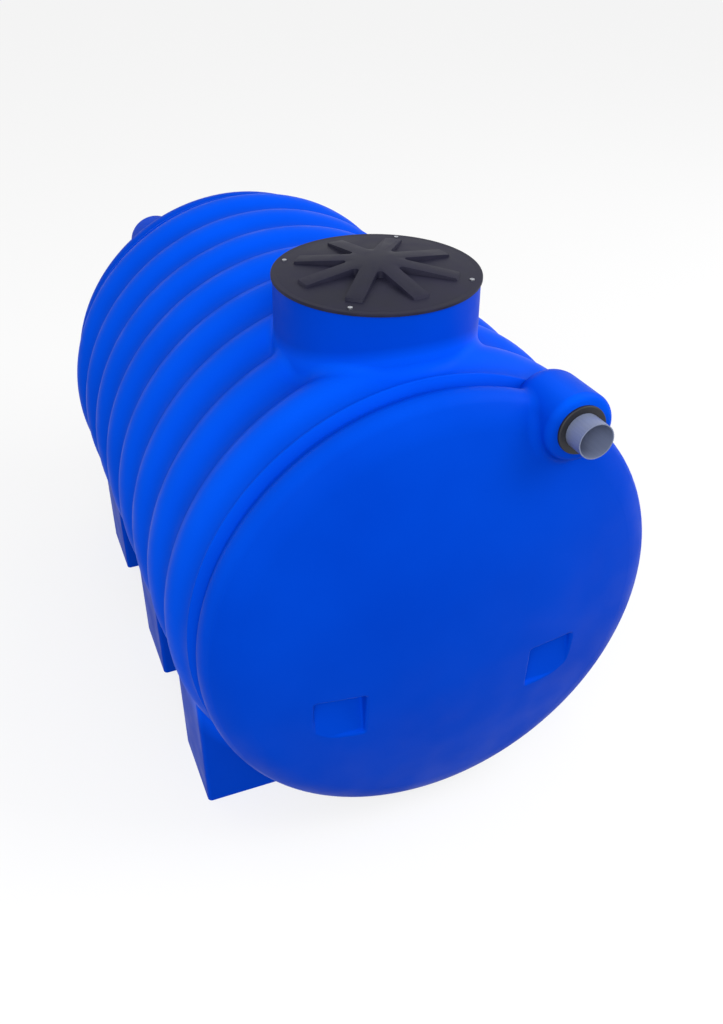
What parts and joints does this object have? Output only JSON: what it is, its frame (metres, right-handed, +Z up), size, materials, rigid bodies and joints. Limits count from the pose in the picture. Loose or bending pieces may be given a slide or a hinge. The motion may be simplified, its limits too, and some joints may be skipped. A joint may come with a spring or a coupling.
{
  "type": "septic tank",
  "caption": "Horizontal ribbed plastic septic tank on moulded feet, with bulged ends, a screwed-down manhole lid on a round neck and a sealed pipe stub at each end.",
  "frame": {"origin": "centre of the tank at the level of the ground, under the middle of its length and width", "axes": "+Z up, +Y along the barrel from the end nearest the manhole to the far end, +X to the right seen from the manhole end"},
  "size_m": [1.568, 2.3412, 1.769],
  "materials": {
    "tank_plastic": "moulded polyethylene, soft sheen",
    "lid_plastic": "moulded black-grey plastic, dull",
    "seal_rubber": "black rubber, dull",
    "pipe_plastic": "grey-white rigid drain pipe, slight gloss"
  },
  "bodies": {
    "root": {"barrel_ring_1": "tank_plastic", "barrel_ring_2": "tank_plastic", "barrel_ring_3": "tank_plastic", "barrel_ring_4": "tank_plastic", "barrel_ring_5": "tank_plastic", "barrel_ring_6": "tank_plastic", "barrel_ring_7": "tank_plastic", "barrel_ring_8": "tank_plastic", "front_rim": "tank_plastic", "rear_rim": "tank_plastic", "front_middle_face": "tank_plastic", "rear_middle_face": "tank_plastic", "front_left_face": "tank_plastic", "front_right_face": "tank_plastic", "rear_left_face": "tank_plastic", "rear_right_face": "tank_plastic", "front_left_foot": "tank_plastic", "front_right_foot": "tank_plastic", "middle_left_foot": "tank_plastic", "middle_right_foot": "tank_plastic", "rear_left_foot": "tank_plastic", "rear_right_foot": "tank_plastic", "front_pipe_boss": "tank_plastic", "rear_pipe_boss": "tank_plastic", "manhole_neck": "tank_plastic", "manhole_lid": "lid_plastic", "front_pipe_seal": "seal_rubber", "rear_pipe_seal": "seal_rubber", "front_pipe": "pipe_plastic", "rear_pipe": "pipe_plastic"}
  },
  "joints": []
}
